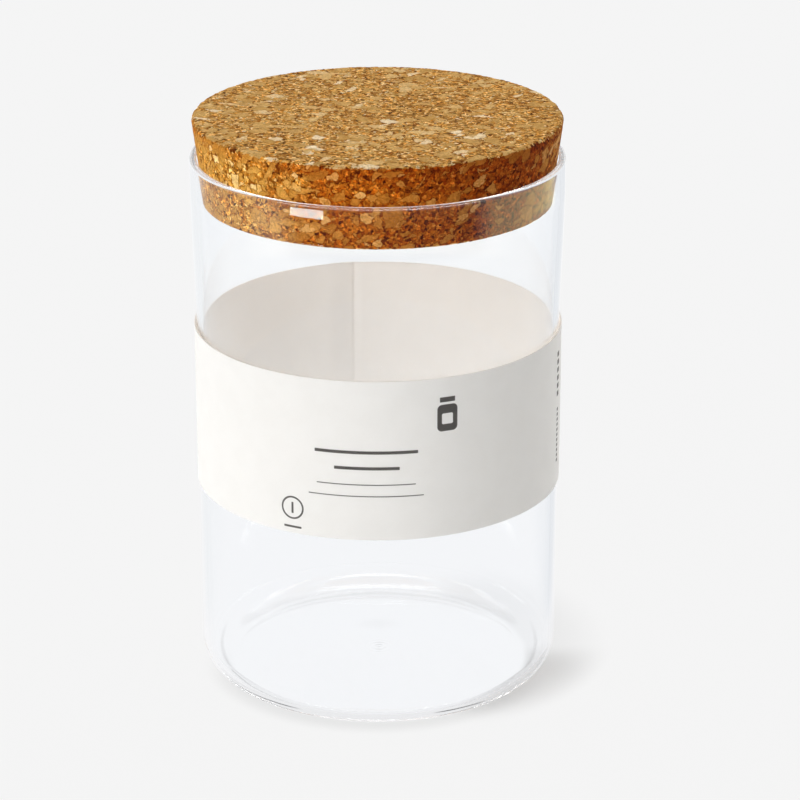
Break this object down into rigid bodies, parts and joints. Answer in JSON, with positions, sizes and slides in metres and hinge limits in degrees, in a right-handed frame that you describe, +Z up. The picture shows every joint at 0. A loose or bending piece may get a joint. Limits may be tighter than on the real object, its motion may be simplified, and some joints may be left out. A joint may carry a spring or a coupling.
{
  "type": "glass storage jar with cork lid",
  "caption": "Straight-sided clear glass canister with a tapered cork stopper lid and a plain paper sleeve round its middle.",
  "frame": {"origin": "centre of the jar's base, on the surface that it stands on", "axes": "+Z up along the jar's axis, out of its mouth; the sleeve's front faces -Y and its lap is at the back, +Y"},
  "size_m": [0.1018, 0.1018, 0.1607],
  "materials": {
    "clear_glass": "clear polished borosilicate glass",
    "cork": "natural agglomerated cork, matte",
    "sleeve_card": "uncoated off-white card",
    "glue": "dried clear paper glue"
  },
  "bodies": {
    "jar": {"glass_jar": "clear_glass"},
    "lid": {"cork_lid": "cork"},
    "sleeve": {"paper_sleeve": "sleeve_card", "sleeve_glue": "glue"}
  },
  "joints": [
    {"name": "lid_lift", "type": "slide", "parent": "jar", "child": "lid", "axis": [0, 0, 1], "range_m": [0, 0.1]},
    {"name": "sleeve_slide", "type": "slide", "parent": "jar", "child": "sleeve", "axis": [0, 0, 1], "range_m": [-0.057, 0.009]}
  ]
}
